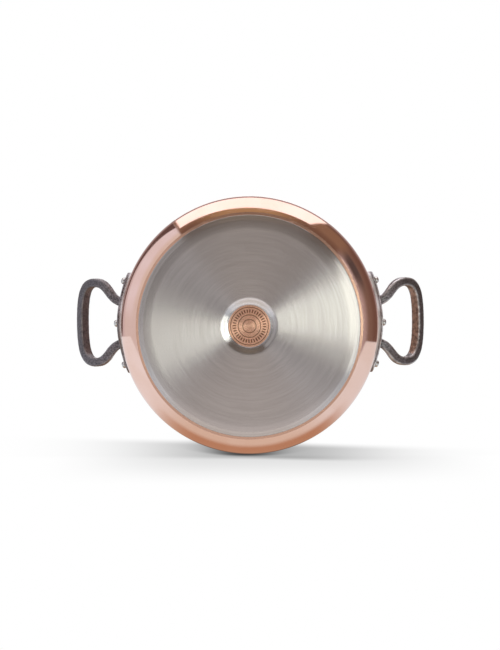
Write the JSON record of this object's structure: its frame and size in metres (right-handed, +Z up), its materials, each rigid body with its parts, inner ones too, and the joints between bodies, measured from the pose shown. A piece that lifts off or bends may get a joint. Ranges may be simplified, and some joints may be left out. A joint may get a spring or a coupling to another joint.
{
  "type": "copper stewpot",
  "caption": "copper cooking pot with a steel-lined round body, a steel base disc with a dished centre and riveted cast loop handles",
  "frame": {"origin": "middle of the base disc's flat resting face", "axes": "+Z up out of the open top, X across the handles with handle_right at +X, Y across the body"},
  "size_m": [0.2856, 0.204, 0.11],
  "materials": {
    "copper": "polished copper",
    "lining_steel": "satin",
    "disc_steel": "turned, fine rings",
    "casting": "fine cast skin, semi-matt",
    "rivet_steel": "satin"
  },
  "bodies": {
    "root": {"copper_body": "copper", "steel_lining": "lining_steel", "base_disc": "disc_steel", "handle_left": "casting", "handle_right": "casting", "rivet_left_1": "rivet_steel", "rivet_left_2": "rivet_steel", "rivet_left_3": "rivet_steel", "rivet_right_1": "rivet_steel", "rivet_right_2": "rivet_steel", "rivet_right_3": "rivet_steel"}
  },
  "joints": []
}
